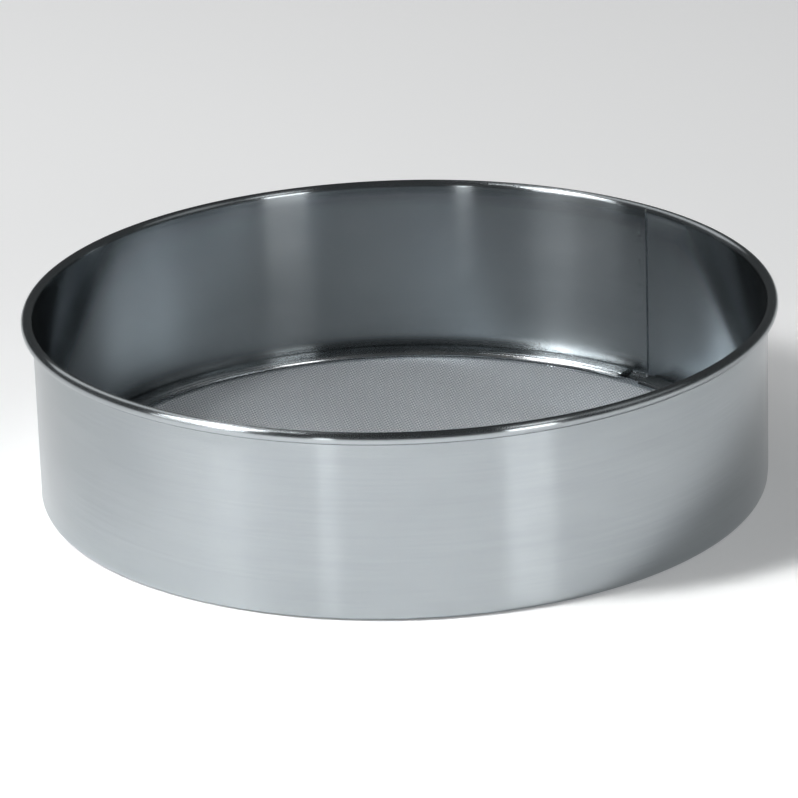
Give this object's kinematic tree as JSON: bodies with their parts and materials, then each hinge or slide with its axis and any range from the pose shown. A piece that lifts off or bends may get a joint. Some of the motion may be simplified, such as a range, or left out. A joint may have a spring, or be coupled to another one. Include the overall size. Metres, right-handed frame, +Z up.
{
  "type": "soil sieve",
  "caption": "Round steel drum sieve for potting soil, with a rolled rim, a lapped seam and fine woven wire cloth held over the base flange by a split ring.",
  "frame": {"origin": "centre of the base, on the plane that the bottom flange stands on", "axes": "+Z up along the drum's axis, out of the open top; -Y is the front; the lap seam is at the back right, 44.3 degrees from +X towards +Y"},
  "size_m": [0.3088, 0.3088, 0.079],
  "materials": {
    "drum_steel": "polished stainless sheet with fine level rolling lines, slightly cool",
    "core_wire_steel": "drawn steel wire, satin",
    "cloth_wire": "fine drawn stainless wire, plain weave",
    "ring_steel": "bright rolled stainless bar"
  },
  "bodies": {
    "root": {"drum_band": "drum_steel", "rim_core_wire": "core_wire_steel", "sieve_cloth": "cloth_wire", "retaining_ring": "ring_steel"}
  },
  "joints": []
}
